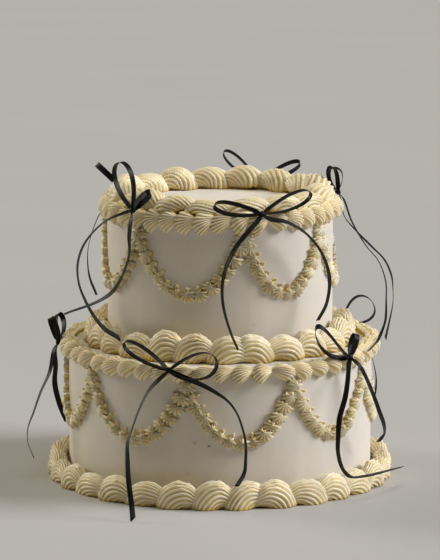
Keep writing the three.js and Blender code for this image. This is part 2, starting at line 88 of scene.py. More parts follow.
# Bows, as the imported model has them, in millimetres and degrees: a knot, two loops and two tails.
# A loop runs out to its tip and back. After the tip come how far open it is, its roll about the
# way it points, and for one its sag. A tail follows the middle of the ribbon from the knot: each
# stop is a place, and how far the ribbon's face is turned there about its own length, from
# straight outwards.
BOWS = {
    "upper_bow_front": {
        "knot": (28, -81, 194), "loops": [((-4, -91, 201), 10, 45), ((61, -65, 206), 11, 15)],
        "tails": [
            [(25, -86, 190, 60), (19, -91, 184, 57), (8, -98, 170, 56), (2, -100, 153, 62),
             (2, -99, 136, 64), (7, -98, 117, 68), (12, -97, 105, 72)],
            [(34, -84, 191, -45), (44, -81, 189, -52), (58, -76, 180, -50), (69, -69, 165, -28),
             (74, -65, 148, -5), (72, -67, 131, -10), (66, -71, 120, -18)]],
    },
    "upper_bow_left": {
        "knot": (-59, -62, 194), "loops": [((-68, -57, 226), 18, -5), ((-47, -80, 209), 6, 78)],
        "tails": [
            [(-65, -60, 192, 52), (-77, -55, 186, 50), (-88, -46, 175, 33), (-95, -38, 163, 10),
             (-98, -32, 150, -5), (-97, -30, 138, -5), (-93, -33, 128, 0), (-87, -42, 119, 3),
             (-79, -56, 112, 8), (-68, -71, 108, 15)],
            [(-60, -67, 189, 8), (-61, -71, 178, 6), (-61, -75, 166, 30), (-65, -74, 153, 36),
             (-72, -67, 140, 22), (-81, -58, 132, 42), (-92, -50, 126, 54), (-101, -44, 122, 54),
             (-107, -40, 119, 50)]],
    },
    "upper_bow_right": {
        "knot": (83, 26, 195), "loops": [((77, 13, 214), 8, -55), ((80, 34, 211), 11, 75)],
        "tails": [
            [(85, 19, 191, 20), (87, 13, 180, 20), (96, 10, 169, 25), (106, 8, 159, 30), (115, 5, 150, 25),
             (120, 3, 139, 20), (121, 2, 131, 10), (121, 0, 120, 0), (118, 0, 104, -10),
             (116, 0, 95, -20)],
            [(87, 28, 190, 0), (93, 27, 174, 5), (103, 25, 157, 10), (112, 24, 146, 10), (117, 21, 132, 5),
             (117, 13, 119, -5), (116, 2, 108, -25), (112, -14, 101, -50), (108, -32, 98, -60),
             (104, -46, 97, -60), (101, -56, 96, -55)]],
    },
    "upper_bow_back": {
        "knot": (28, 81, 194), "loops": [((58, 92, 208), 9, -40), ((3, 91, 216), 9, 45)],
        "tails": [
            [(35, 84, 190, 40), (47, 86, 182, 40), (57, 84, 168, 25), (61, 81, 151, 10), (58, 82, 133, 5),
             (52, 86, 119, 15)],
            [(24, 86, 190, -35), (16, 93, 181, -40), (8, 98, 166, -50), (4, 100, 149, -55),
             (6, 99, 131, -50), (12, 97, 114, -45)]],
    },
    "upper_bow_back_left": {
        "knot": (-69, 50, 194), "loops": [((-88, 62, 210), 9, 35), ((-47, 78, 196), 8, -45)],
        "tails": [
            [(-67, 56, 190, 35), (-61, 66, 183, 40), (-54, 75, 170, 35), (-49, 82, 154, 20),
             (-49, 84, 137, 10), (-54, 81, 121, 20)],
            [(-74, 50, 189, -40), (-83, 48, 181, -45), (-90, 43, 167, -35), (-94, 37, 151, -20),
             (-93, 35, 134, -10), (-88, 40, 119, -15)]],
    },
    "lower_bow_front": {
        "knot": (-34, -108, 93), "loops": [((-64, -99, 110), 10, -17), ((-2, -127, 101), 18, -28)],
        "tails": [
            [(-39, -112, 89, 43), (-47, -114, 81, 46), (-53, -117, 70, 53), (-58, -121, 57, 52),
             (-61, -125, 48, 33), (-61, -131, 36, 15), (-60, -138, 23, 8), (-58, -145, 10, 5),
             (-57, -151, 2, 3)],
            [(-28, -114, 91, 5), (-15, -120, 87, 24), (-4, -124, 82, 43), (5, -126, 76, 61),
             (11, -127, 68, 74), (15, -127, 57, 75), (17, -127, 47, 75), (17, -126, 37, 72),
             (16, -125, 27, 66), (11, -125, 18, 60)]],
    },
    "lower_bow_right": {
        "knot": (88, -71, 95), "loops": [((65, -94, 120), 11, -60, 6), ((92, -66, 110), 6, 70)],
        "tails": [
            [(87, -77, 91, 100), (86, -84, 82, 95), (84, -91, 71, 80), (80, -98, 58, 76),
             (79, -102, 46, 84), (79, -103, 36, 90), (82, -102, 25, 86), (87, -100, 19, 68),
             (95, -92, 17, 50), (106, -79, 16, 46), (117, -63, 15, 52), (126, -46, 13, 65)],
            [(94, -73, 90, -12), (99, -72, 81, -7), (104, -72, 69, 0), (108, -71, 58, 3),
             (112, -65, 46, 3), (112, -60, 39, 6), (108, -61, 34, -5)]],
    },
    "lower_bow_left": {
        "knot": (-113, -3, 93), "loops": [((-117, -15, 112), 8, 30), ((-113, 23, 108), 9, -40)],
        "tails": [
            [(-116, -7, 88, -40), (-119, -10, 73, -35), (-125, -15, 60, -20), (-130, -19, 46, -10),
             (-134, -21, 35, 0), (-134, -23, 25, 5), (-130, -24, 15, 0)],
            [(-116, 3, 86, 40), (-116, 10, 73, 45), (-117, 15, 60, 50), (-114, 20, 44, 45),
             (-109, 25, 30, 35)]],
    },
    "lower_bow_back_right": {
        "knot": (89, 70, 93), "loops": [((110, 72, 109), 21, 5), ((68, 97, 105), 9, -40)],
        "tails": [
            [(96, 70, 89, 35), (105, 66, 80, 40), (111, 61, 66, 30), (113, 58, 51, 15), (110, 62, 36, 5),
             (104, 69, 24, 15)],
            [(88, 76, 88, -35), (85, 86, 79, -45), (80, 95, 65, -50), (76, 101, 50, -40),
             (76, 103, 34, -25), (80, 101, 22, -20)]],
    },
    "lower_bow_back_left": {
        "knot": (-38, 106, 93), "loops": [((-68, 99, 107), 9, -40), ((-6, 116, 104), 10, 35)],
        "tails": [
            [(-32, 111, 89, 35), (-22, 117, 80, 40), (-14, 121, 66, 50), (-10, 124, 50, 45),
             (-12, 125, 34, 30), (-18, 124, 22, 20)],
            [(-44, 109, 88, -35), (-54, 110, 80, -40), (-62, 109, 66, -30), (-66, 108, 50, -15),
             (-65, 109, 34, -5), (-60, 112, 21, -10)]],
    },
}

# Camera

CAMERA_PLACE = (0, -2.0, 0.462)
CAMERA_PITCH = 9.25  # degrees down
FRAME_HEIGHT = 560  # pixels
FOCAL_LENGTH = 2900  # pixels
SENSOR = 36  # millimetres, along the frame's longer side


def add_object(name, data):
    made = bpy.data.objects.new(name, data)
    SCENE.collection.objects.link(made)
    return made


def add_camera():
    camera = bpy.data.cameras.new("camera")
    camera.sensor_width = SENSOR
    camera.lens = FOCAL_LENGTH / FRAME_HEIGHT * SENSOR
    holder = add_object("camera", camera)
    holder.location = CAMERA_PLACE
    holder.rotation_euler = (radians(90 - CAMERA_PITCH), 0, 0)
    SCENE.camera = holder


# Nodes and colours


def add_node(tree, kind, *given, **settings):
    """Adds a node with its settings, then sets its inputs, in order or by the names in a
    dictionary, to a value, a socket, or another node's first output."""
    made = tree.nodes.new(kind)
    for name, value in settings.items():
        setattr(made, name, value)
    inputs = {}
    for number, value in enumerate(given):
        inputs.update(value if isinstance(value, dict) else {number: value})
    for key, value in inputs.items():
        if isinstance(key, int):
            socket = made.inputs[key]
        else:
            socket = next(s for s in made.inputs if s.name == key and s.enabled)
        if isinstance(value, bpy.types.Node):
            value = next(s for s in value.outputs if s.enabled)
        if isinstance(value, bpy.types.NodeSocket):
            tree.links.new(value, socket)
        else:
            socket.default_value = value
    return made


def linear(hex_colour):
    """An sRGB hex colour as the linear RGBA that Blender's sockets take."""
    parts = [int(hex_colour[i : i + 2], 16) / 255 for i in (1, 3, 5)]
    return (*[p / 12.92 if p <= 0.04045 else ((p + 0.055) / 1.055) ** 2.4 for p in parts], 1)


# Materials


def new_material(name):
    """An empty material, and what adds a node to it."""
    material = bpy.data.materials.new(name)
    material.use_nodes = True
    material.node_tree.nodes.clear()
    return material, partial(add_node, material.node_tree)


def cream_shader(add, colour, roughness, normal):
    """Buttercream is fat whipped with sugar: light goes a millimetre or so into it and comes out
    yellower, and its skin has a soft waxy gloss."""
    return add("ShaderNodeBsdfPrincipled", {
        "Base Color": colour, "Roughness": roughness, "Normal": normal, "IOR": 1.45,
        "Specular IOR Level": 0.5, "Subsurface Weight": 0.55,
        "Subsurface Radius": (1.0, 0.8, 0.37), "Subsurface Scale": 0.6 * MM,
    })


def smoothed_buttercream(name, marks):
    """Buttercream drawn smooth with a scraper: even ivory in slow clouds, the scraper's faint
    upright streaks, and the few small marks that hands and crumbs left."""
    material, add = new_material(name)
    place = add("ShaderNodeTexCoord").outputs["Object"]
    cloud_size, streak_size, grain_size = 45 * MM, 7 * MM, 2.2 * MM
    streak_squeeze = 0.06  # of the height, so that a streak is drawn out upright
    cloud = add("ShaderNodeTexNoise", place, {"Scale": 1 / cloud_size})
    upright = add("ShaderNodeMapping", place, {"Scale": (1, 1, streak_squeeze)}, vector_type="POINT")
    streak = add("ShaderNodeTexNoise", upright, {"Scale": 1 / streak_size, "Detail": 3.0})
    streaked = add("ShaderNodeMapRange", streak, {"From Min": 0.42, "From Max": 0.7, "To Max": 0.16})
    ivory = add("ShaderNodeMix", cloud, {"A": linear("#dfd7c8"), "B": linear("#e6dfd3")}, data_type="RGBA")
    colour = add("ShaderNodeMix", streaked, {"A": ivory, "B": linear("#d8ceb8")}, data_type="RGBA")
    for centre, radius, strength, tint in marks:
        size = radius * MM
        away = add("ShaderNodeVectorMath", place, [c * MM for c in centre],
            operation="DISTANCE").outputs["Value"]
        blotch = add("ShaderNodeTexNoise", place, {"Scale": 1 / size})
        ragged = add("ShaderNodeMath", blotch, size, away, operation="MULTIPLY_ADD")
        share = add("ShaderNodeMapRange",
            ragged, {"From Min": 1.45 * size, "From Max": 0.6 * size, "To Max": strength},
            interpolation_type="SMOOTHSTEP")
        colour = add("ShaderNodeMix", share, {"A": colour, "B": linear(tint)}, data_type="RGBA")
    grain = add("ShaderNodeTexNoise", place, {"Scale": 1 / grain_size, "Detail": 3.0})
    grain_height = add("ShaderNodeMath", grain, 0.25, operation="MULTIPLY")
    height = add("ShaderNodeMath", streak, 0.7, grain_height, operation="MULTIPLY_ADD")
    bump = add("ShaderNodeBump", {"Height": height, "Strength": 0.25, "Distance": 0.5 * MM})
    roughness = add("ShaderNodeMapRange", cloud, {"To Min": 0.5, "To Max": 0.66})
    add("ShaderNodeOutputMaterial", cream_shader(add, colour, roughness, bump))
    return material


def piped_buttercream():
    """Buttercream pressed through a star nozzle: pale ridges, and grooves painted a darker, fuller
    yellow as painted shade, for light that has passed through more of the cream there."""
    material, add = new_material("piped_buttercream")
    place = add("ShaderNodeTexCoord").outputs["Object"]
    groove = add("ShaderNodeAttribute", attribute_name="groove").outputs["Fac"]
    cloud_size, bubble_size = 14 * MM, 1.1 * MM
    cloud = add("ShaderNodeTexNoise", place, {"Scale": 1 / cloud_size})
    ridge = add("ShaderNodeMix", cloud, {"A": linear("#f4eace"), "B": linear("#faf2dc")}, data_type="RGBA")
    # Painted shade: the groove attribute mixes the darker yellow into the grooves, the undersides and the
    # feet of the piped forms.
    deep = add("ShaderNodeMath", groove, 1.1, operation="POWER")
    colour = add("ShaderNodeMix", deep, {"A": ridge, "B": linear("#d6b434")}, data_type="RGBA")
    bubbles = add("ShaderNodeTexNoise", place, {"Scale": 1 / bubble_size})
    bump = add("ShaderNodeBump", {"Height": bubbles, "Strength": 0.25, "Distance": 0.3 * MM})
    roughness = add("ShaderNodeMapRange", bubbles, {"To Min": 0.34, "To Max": 0.5})
    add("ShaderNodeOutputMaterial", cream_shader(add, colour, roughness, bump))
    return material


def satin_ribbon():
    """Black polyester satin: fine threads along the ribbon throw a soft grey sheen across it,
    and the woven selvedges catch a thin line of light."""
    material, add = new_material("satin_ribbon")
    # The UV map is in millimetres, across the ribbon and along it.
    cloth = add("ShaderNodeUVMap", uv_map="cloth").outputs["UV"]
    spot = add("ShaderNodeSeparateXYZ", cloth)
    # Real satin threads are 0.1 mm apart; these are 0.42 mm, so that they show.
    thread_pitch = 0.42
    pick_pitch = 1.6 * thread_pitch
    waves = []
    for axis, pitch in (("X", thread_pitch), ("Y", pick_pitch)):
        phase = add("ShaderNodeMath", spot.outputs[axis], tau / pitch, operation="MULTIPLY")
        waves.append(add("ShaderNodeMath", phase, operation="SINE"))
    threads, picks = waves
    weave = add("ShaderNodeMath", picks, 0.5, threads, operation="MULTIPLY_ADD")
    bump = add("ShaderNodeBump", {"Height": weave, "Strength": 0.25, "Distance": 0.06 * MM})
    shade_size = 4  # millimetres, as the UV map is
    shade = add("ShaderNodeTexNoise", cloth, {"Scale": 1 / shade_size, "Detail": 3.0})
    colour = add("ShaderNodeMix", shade, {"A": linear("#030305"), "B": linear("#0a0a0d")},
        data_type="RGBA")
    roughness = add("ShaderNodeMapRange", shade, {"To Min": 0.34, "To Max": 0.5})
    tangent = add("ShaderNodeTangent", direction_type="UV_MAP", uv_map="cloth")
    satin = add("ShaderNodeBsdfPrincipled", {
        "Base Color": colour, "Roughness": roughness, "Normal": bump, "Tangent": tangent,
        "IOR": 1.5, "Specular IOR Level": 0.2, "Anisotropic": 0.6, "Sheen Weight": 0.05,
        "Sheen Roughness": 0.4,
    })
    add("ShaderNodeOutputMaterial", satin)
    return material


# Meshes


def mesh_object(name, corners, faces, groove=None, uv=None):
    """A smooth-shaded closed mesh with its faces outwards, linked to the scene."""
    mesh = bpy.data.meshes.new(name)
    mesh.from_pydata([tuple(c) for c in corners], [], faces)
    if uv is not None:
        layer = mesh.uv_layers.new(name="cloth")
        spots = [uv[v] for face in faces for v in face]
        layer.data.foreach_set("uv", np.array(spots, np.float32).ravel())
    # The groove attribute says how much painted shade, the darker groove colour, the piped buttercream
    # puts at each corner.
    if groove is not None:
        attribute = mesh.attributes.new("groove", "FLOAT", "POINT")
        attribute.data.foreach_set("value", np.array(groove, np.float32))
    work = bmesh.new()
    work.from_mesh(mesh)
    bmesh.ops.recalc_face_normals(work, faces=work.faces)
    work.to_mesh(mesh)
    work.free()
    mesh.shade_smooth()
    return add_object(name, mesh)


def ring_faces(rings, sides):
    """Quads between successive closed rings of the same number of corners."""
    faces = []
    for ring in range(rings - 1):
        here = ring * sides
        for side in range(sides):
            turn = (side + 1) % sides
            faces.append((here + side, here + turn, here + sides + turn, here + sides + side))
    return faces


def closed_faces(rings, sides):
    """Rings closed by a fan at each end, to the two corners that come after all the rings: the
    first ring's, then the last ring's."""
    faces = ring_faces(rings, sides)
    for pole, first in ((rings * sides, 0), (rings * sides + 1, (rings - 1) * sides)):
        faces += [(pole, first + side, first + (side + 1) % sides) for side in range(sides)]
    return faces


# Piped shells

SUNK = 0.22  # share of a shell's round form that the seat cuts off
FOOT_SHADE = 0.25  # share of its height, from the seat up, painted towards the groove colour as painted shade, where little light comes
ORIGIN = 0.42  # where along a shell its own origin lies
RIDGE_POWER = 1.1  # above 1, the ridges of the nozzle are narrower than its grooves
UNDER = -0.12  # how far a small form goes into the wall, in its own relief
SHELL_FORMS = ((1.0, 0.0), (0.93, 0.35), (1.05, -0.3))  # slimness, and twist added


def shell_sections(rows):
    """The middle line of a shell from a star nozzle, which presses out a head straight upwards
    and is then leant over and drawn away: places, headings and fullness, in radii."""
    start, end = radians(94), radians(-58)
    path_length = 3.1
    head_share = 0.16  # of the line, along which the head swells
    tail_full = 0.12
    share = np.linspace(0, 1, rows + 1)[1:] ** 1.15
    fine = np.linspace(0, 1, 400)
    heading = start + (end - start) * fine**0.85
    step = path_length / (len(fine) - 1)
    path_x = np.cumsum(np.cos(heading)) * step
    path_z = np.cumsum(np.sin(heading)) * step
    rising = np.sqrt(np.clip(1 - (1 - np.minimum(share / head_share, 1)) ** 2, 0, 1))
    drawn = np.clip((share - head_share) / (1 - head_share), 0, 1)
    tapering = tail_full + (1 - tail_full) * np.cos(drawn * pi / 2) ** 0.9
    return (
        share,
        np.interp(share, fine, path_x),
        np.interp(share, fine, path_z),
        np.interp(share, fine, heading),
        np.where(share < head_share, rising, tapering),
    )


def piped_shell(name, length, across, height, twist, mirrored, flutes, groove, rows=26,
                per_flute=4):
    """One shell. X runs from its head to its tail and Z rises off the seat. The flutes stand up
    from the seat round the head, arch over and run together at the tail."""
    sides = flutes * per_flute
    share, x0, z0, lean, full = shell_sections(rows)
    around = np.arange(sides) * tau / sides
    corners, grooves = [], []
    for x, z, angle, fullness, along in zip(x0, z0, lean, full, share):
        turned = twist * (3 * along**2 - 2 * along**3)
        crest = np.abs(np.cos((around + turned) * flutes / 2)) ** RIDGE_POWER
        radius = fullness * (1 - groove * (1 - crest))
        for u, s, c in zip(radius * np.cos(around), radius * np.sin(around), crest):
            corners.append((x - u * sin(angle), s, z + u * cos(angle)))
            grooves.append(1 - c)
    tail_tip = np.mean(corners[-sides:], axis=0)
    corners += [(x0[0], 0, z0[0]), tuple(tail_tip)]
    grooves += [1, 1]
    form = np.array(corners)
    low, high = form.min(0), form.max(0)
    x, y, z = ((form - low) / (high - low)).T
    risen = np.maximum((z - SUNK) / (1 - SUNK), 0)
    side = -1 if mirrored else 1
    fitted = np.stack([(x - ORIGIN) * length * side, (y - 0.5) * across, risen * height], axis=1)
    # Painted shade: the groove colour in the flutes' grooves and at the foot of the shell, fading upwards.
    shaded = np.maximum(grooves, np.clip(1 - risen / FOOT_SHADE, 0, 1))
    return mesh_object(name, fitted, closed_faces(rows, sides), groove=shaded.tolist())


def scallop(name, length, across, relief, twist, mirrored, ridges, groove):
    """One small shell that droops on a wall. X runs from its fat head to its tail and Z stands
    off the wall. Its ridges spread from the tail like the ribs of a scallop, and end in a
    toothed edge above and a round lobe below."""
    per_ridge = 4
    above, below = 1.25, 0.95  # radians that the ridges spread to on each side
    columns = ridges * per_ridge + 1
    spread = np.linspace(-1, 1, columns)
    crest = np.abs(np.cos(np.arange(columns) * pi / per_ridge)) ** RIDGE_POWER
    reach_x = np.where(spread > 0, np.cos(spread * above), np.cos(spread * below)) ** 0.7
    reach_y = np.sin(spread * above) / sin(above)
    reach_x = reach_x * (1 - 0.1 * (1 - crest))
    reach_y = reach_y * (1 - 0.08 * (1 - crest))
    full = np.sqrt(np.clip(1 - np.abs(spread) ** 3.2, 0, 1)) * (1 - groove * (1 - crest))
    along = np.array([0.06, 0.16, 0.28, 0.41, 0.54, 0.67, 0.78, 0.87, 0.94, 0.985, 1.0])
    crown = 0.62  # how far along its ridges the shell is fullest
    past_crown = np.maximum(along - crown, 0) / (1 - crown)
    hump = np.where(
        along < crown,
        0.3 + 0.7 * np.sin(along / crown * pi / 2),
        np.sqrt(np.clip(1 - past_crown**2.4, 0, 1)),
    )
    tail = 0.5 * length
    side = -1 if mirrored else 1
    inset = 0.97  # how far the edge against the wall stays within the toothed edge
    corners, grooves = [], []
    for out, rise in zip(along, hump):
        bend = twist * (1 - out) * across * 0.12
        for x, y, z, c in zip(reach_x, reach_y, full, crest):
            corners.append((side * (tail - out * length * x), out * across / 2 * y + bend,
                            rise * relief * z))
            grooves.append(1 - c)
        # The edge against the wall takes the full groove colour: painted shade under the shell.
        for x, y in zip(reach_x[::-per_ridge], reach_y[::-per_ridge]):
            corners.append((side * (tail - out * length * x * inset),
                            out * across / 2 * y * inset + bend, UNDER * relief))
            grooves.append(1)
    ring = columns + ridges + 1
    head = np.mean(corners[-ring:], axis=0)
    corners += [(side * tail, corners[0][1], 0.1 * relief), tuple(head)]
    grooves += [1, 1]
    return mesh_object(name, corners, closed_faces(len(along), ring), groove=grooves)


def shell_forms(name, shape, length, across, height, twist, **detail):
    """The forms of each of the two piping runs, which mirror each other, in a collection."""
    forms = bpy.data.collections.new(name)
    for run, mirrored in enumerate((False, True)):
        for number, (slim, turn) in enumerate(SHELL_FORMS):
            made = shape(
                f"{name}_{run}{number}", length * (2 - slim), across * slim, height * slim,
                twist + turn, mirrored, **detail)
            SCENE.collection.objects.unlink(made)
            forms.objects.link(made)
    return forms


# Trees that pipe the forms


def new_tree(name, inputs):
    """A Geometry Nodes tree with named inputs of each kind, what adds a node to it, and the
    sockets of those inputs."""
    tree = bpy.data.node_groups.new(name, "GeometryNodeTree")
    tree.is_modifier = True
    tree.interface.new_socket("Geometry", in_out="OUTPUT", socket_type="NodeSocketGeometry")
    for kind, labels in inputs.items():
        for label in labels:
            tree.interface.new_socket(label, in_out="INPUT", socket_type="NodeSocket" + kind)
    add = partial(add_node, tree)
    return tree, add, add("NodeGroupInput").outputs


def finish_tree(add, geometry, material):
    finished = add("GeometryNodeSetMaterial", geometry, {"Material": material})
    add("NodeGroupOutput", finished)


def own_turn_and_size(add, given):
    """A turn and a size for each form, drawn evenly within the spreads that are given."""
    drawn = []
    for middle, spread in ((0.0, given["Turn Spread"]), (1.0, given["Size Spread"])):
        low, high = (add("ShaderNodeMath", middle, spread, operation=way) for way in ("SUBTRACT", "ADD"))
        drawn.append(add("FunctionNodeRandomValue", {"Min": low, "Max": high, "Seed": given["Seed"]},
            data_type="FLOAT_VECTOR"))
    return drawn


def roughened(add, geometry, size, strength, seed):
    """Pushes the surface about by a noise of that size, up to half the strength."""
    position = add("GeometryNodeInputPosition")
    lumps = add("ShaderNodeTexNoise", position, {"Scale": 1 / size, "Detail": 1.0, "W": seed},
        noise_dimensions="4D")
    centred = add("ShaderNodeVectorMath", lumps.outputs["Color"], (0.5, 0.5, 0.5), operation="SUBTRACT")
    push = add("ShaderNodeVectorMath", centred, {"Scale": strength}, operation="SCALE")
    return add("GeometryNodeSetPosition", geometry, {"Offset": push})


def ring_tree():
    """Geometry Nodes that pipe a ring of shells. Two runs start at the back and meet at the
    meeting angle; every shell is turned, sized and dented a little differently."""
    tree, add, given = new_tree("piped ring", {
        "Geometry": ["Geometry"], "Collection": ["Shell Forms"], "Material": ["Finish"],
        "Int": ["Shells", "Seed"],
        "Float": [
            "Ring Radius", "Seat Height", "Lowest", "Meeting Angle", "Left Run End", "Lean",
            "Side Lean", "Side Rise", "Droop", "Size Spread", "Turn Spread", "Lowest Share",
            "Lowest Angle", "Dents", "Ragged", "Ragged From",
        ],
    })
    index = add("GeometryNodeInputIndex")
    pitch = add("ShaderNodeMath", tau, given["Shells"], operation="DIVIDE")
    step = add("ShaderNodeMath", index, 0.5, operation="ADD")
    start = add("ShaderNodeMath", given["Meeting Angle"], pi, operation="SUBTRACT")
    angle = add("ShaderNodeMath", step, pitch, start, operation="MULTIPLY_ADD")
    sine = add("ShaderNodeMath", angle, operation="SINE")
    cosine = add("ShaderNodeMath", angle, operation="COSINE")
    # A change round the ring starts and is complete at these cosines of the angle.
    near, far = 0.85, 0.2
    # 0 at the front, 1 at the sides and the back
    aside = add("ShaderNodeMapRange", cosine, {"From Min": near, "From Max": far},
        interpolation_type="SMOOTHSTEP")
    height = add("ShaderNodeMath", aside, given["Side Rise"], given["Seat Height"],
        operation="MULTIPLY_ADD")
    rightwards = add("ShaderNodeMath", sine, given["Ring Radius"], operation="MULTIPLY")
    inwards = add("ShaderNodeMath", given["Ring Radius"], -1.0, operation="MULTIPLY")
    backwards = add("ShaderNodeMath", cosine, inwards, operation="MULTIPLY")
    place = add("ShaderNodeCombineXYZ", rightwards, backwards, height)
    points = add("GeometryNodePoints", given["Shells"], place)
    # A shell faces out at its place, leans, and then takes its own small turn.
    lean = add("ShaderNodeMix", aside, {"A": given["Lean"], "B": given["Side Lean"]}, data_type="FLOAT")
    right_run = add("ShaderNodeMath", index, given["Left Run End"], operation="GREATER_THAN")
    run_sign = add("ShaderNodeMath", right_run, -2.0, 1.0, operation="MULTIPLY_ADD")
    droop = add("ShaderNodeMath", run_sign, given["Droop"], operation="MULTIPLY")
    turned, size = own_turn_and_size(add, given)
    facing = add("ShaderNodeCombineXYZ", {"Z": angle})
    leaning = add("ShaderNodeCombineXYZ", {"X": lean})
    drooping = add("ShaderNodeCombineXYZ", {"Z": droop})
    own_turn = add("ShaderNodeVectorMath", turned, drooping, operation="ADD")
    rotation = add("FunctionNodeEulerToRotation", facing)
    for euler in (leaning, own_turn):
        added = add("FunctionNodeEulerToRotation", euler)
        rotation = add("FunctionNodeRotateRotation", {"Rotation": rotation, "Rotate By": added},
            rotation_space="LOCAL")
    from_lowest = add("ShaderNodeMath", angle, given["Lowest Angle"], operation="SUBTRACT")
    by_lowest = add("ShaderNodeMath", from_lowest, operation="COSINE")
    tall = add("ShaderNodeMapRange",
        by_lowest, {"From Min": near, "From Max": far, "To Min": given["Lowest Share"]},
        interpolation_type="SMOOTHSTEP")
    stretch = add("ShaderNodeCombineXYZ", 1.0, 1.0, tall)
    fitted = add("ShaderNodeVectorMath", size, stretch, operation="MULTIPLY")
    form = add("FunctionNodeRandomValue",
        {"Min": 0, "Max": len(SHELL_FORMS) - 1, "Seed": given["Seed"]}, data_type="INT")
    pick = add("ShaderNodeMath", right_run, float(len(SHELL_FORMS)), form, operation="MULTIPLY_ADD")
    forms = add("GeometryNodeCollectionInfo",
        {"Collection": given["Shell Forms"], "Separate Children": True, "Reset Children": True})
    piped = add("GeometryNodeInstanceOnPoints", {
        "Points": points, "Instance": forms, "Pick Instance": True, "Instance Index": pick,
        "Rotation": rotation, "Scale": fitted,
    })
    real = add("GeometryNodeRealizeInstances", piped)
    dent_size, tear_size, tear_height = 11 * MM, 2.6 * MM, 4 * MM
    dented = roughened(add, real, dent_size, given["Dents"], given["Seed"])
    # The nozzle tears its upper ridges into small peaks as it lifts.
    position = add("GeometryNodeInputPosition")
    spot = add("ShaderNodeSeparateXYZ", position).outputs
    fully = add("ShaderNodeMath", given["Ragged From"], tear_height, operation="ADD")
    torn_share = add("ShaderNodeMapRange", spot["Z"],
        {"From Min": given["Ragged From"], "From Max": fully, "To Max": given["Ragged"]})
    torn = roughened(add, dented, tear_size, torn_share, given["Seed"])
    above = add("ShaderNodeMath", spot["Z"], given["Lowest"], operation="MAXIMUM")
    kept = add("ShaderNodeCombineXYZ", spot["X"], spot["Y"], above)
    seated = add("GeometryNodeSetPosition", torn, {"Position": kept})
    finish_tree(add, seated, given["Finish"])
    return tree


def grown(name, host, tree, values):
    """Runs a tree on a host object, and keeps the result as a plain mesh object."""
    modifier = host.modifiers.new(tree.name, "NODES")
    modifier.node_group = tree
    for item in tree.interface.items_tree:
        if item.in_out == "INPUT" and item.name in values:
            modifier[item.identifier] = values[item.name]
    bpy.context.view_layer.update()
    depsgraph = bpy.context.evaluated_depsgraph_get()
    mesh = bpy.data.meshes.new_from_object(
        host.evaluated_get(depsgraph), preserve_all_data_layers=True, depsgraph=depsgraph)
    mesh.name = name
    bpy.data.objects.remove(host)
    return add_object(name, mesh)


def dress(piece, slot, *nodes):
    """The piece rides on the cake and stands for its nodes. The slot is not used."""
    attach(piece, BODY)
    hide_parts(*nodes)


